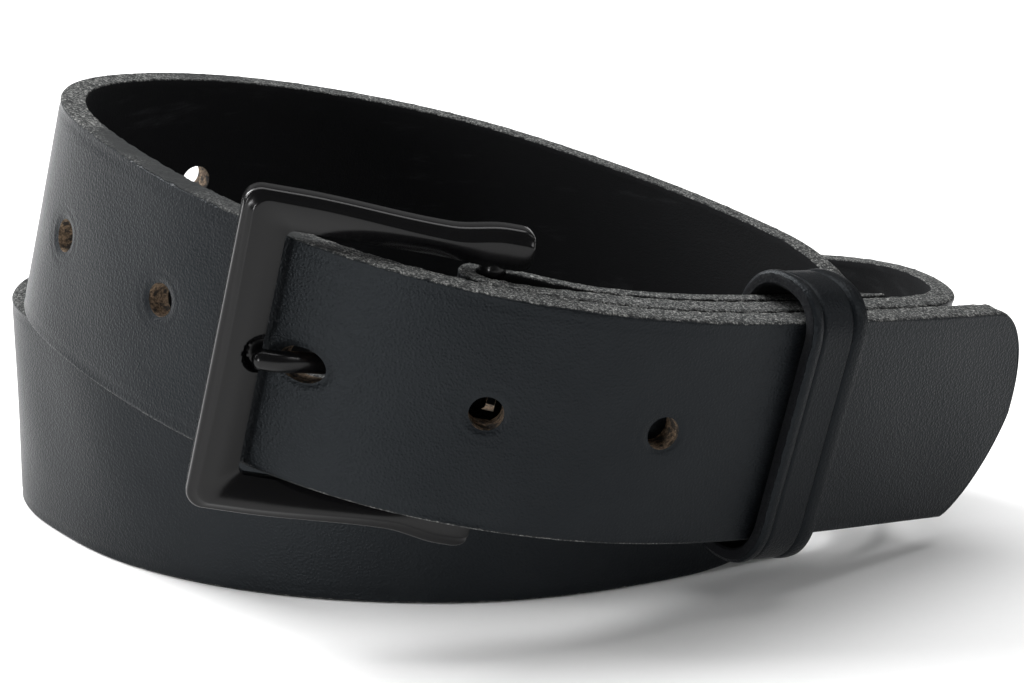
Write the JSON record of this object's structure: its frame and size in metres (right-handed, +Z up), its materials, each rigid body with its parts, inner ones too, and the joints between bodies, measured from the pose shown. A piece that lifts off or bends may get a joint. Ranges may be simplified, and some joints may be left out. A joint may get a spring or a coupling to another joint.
{
  "type": "leather belt",
  "caption": "Plain leather belt with a framed prong buckle and a sliding keeper, buckled and stood on edge in a two-turn coil.",
  "frame": {"origin": "on the ground under the middle of the coiled belt's box", "axes": "+Z up from the edge the belt stands on; +X towards the strap's tip along the coil's long side; -Y towards the buckle's front"},
  "size_m": [0.1476, 0.0952, 0.065],
  "materials": {
    "strap_leather": "satin black grain side, pared and cut edges left raw, sueded flesh side",
    "keeper_leather": "satin black with two creased lines",
    "buckle_metal": "black semi-gloss coating",
    "screw_metal": "blackened steel, satin"
  },
  "bodies": {
    "strap_body": {"strap": "strap_leather", "post_1": "screw_metal", "screw_1": "screw_metal", "post_2": "screw_metal", "screw_2": "screw_metal", "post_3": "screw_metal", "screw_3": "screw_metal", "post_4": "screw_metal", "screw_4": "screw_metal"},
    "frame_body": {"buckle_frame": "buckle_metal"},
    "prong_body": {"prong": "buckle_metal"},
    "keeper_body": {"keeper": "keeper_leather"}
  },
  "joints": [
    {"name": "frame_swing", "type": "hinge", "parent": "strap_body", "child": "frame_body", "pos_m": [-0.00515, -0.03916, 0.03598], "axis": [0.2147, 0, 0.9767], "range_deg": [0, 0.8]},
    {"name": "prong_swing", "type": "hinge", "parent": "frame_body", "child": "prong_body", "pos_m": [-0.00515, -0.03916, 0.03598], "axis": [0.2147, 0, 0.9767], "range_deg": [0, 0.9]},
    {"name": "keeper_slide", "type": "slide", "parent": "strap_body", "child": "keeper_body", "axis": [-0.7717, -0.613, 0.1697], "range_m": [-0.0015, 0.0015]}
  ]
}
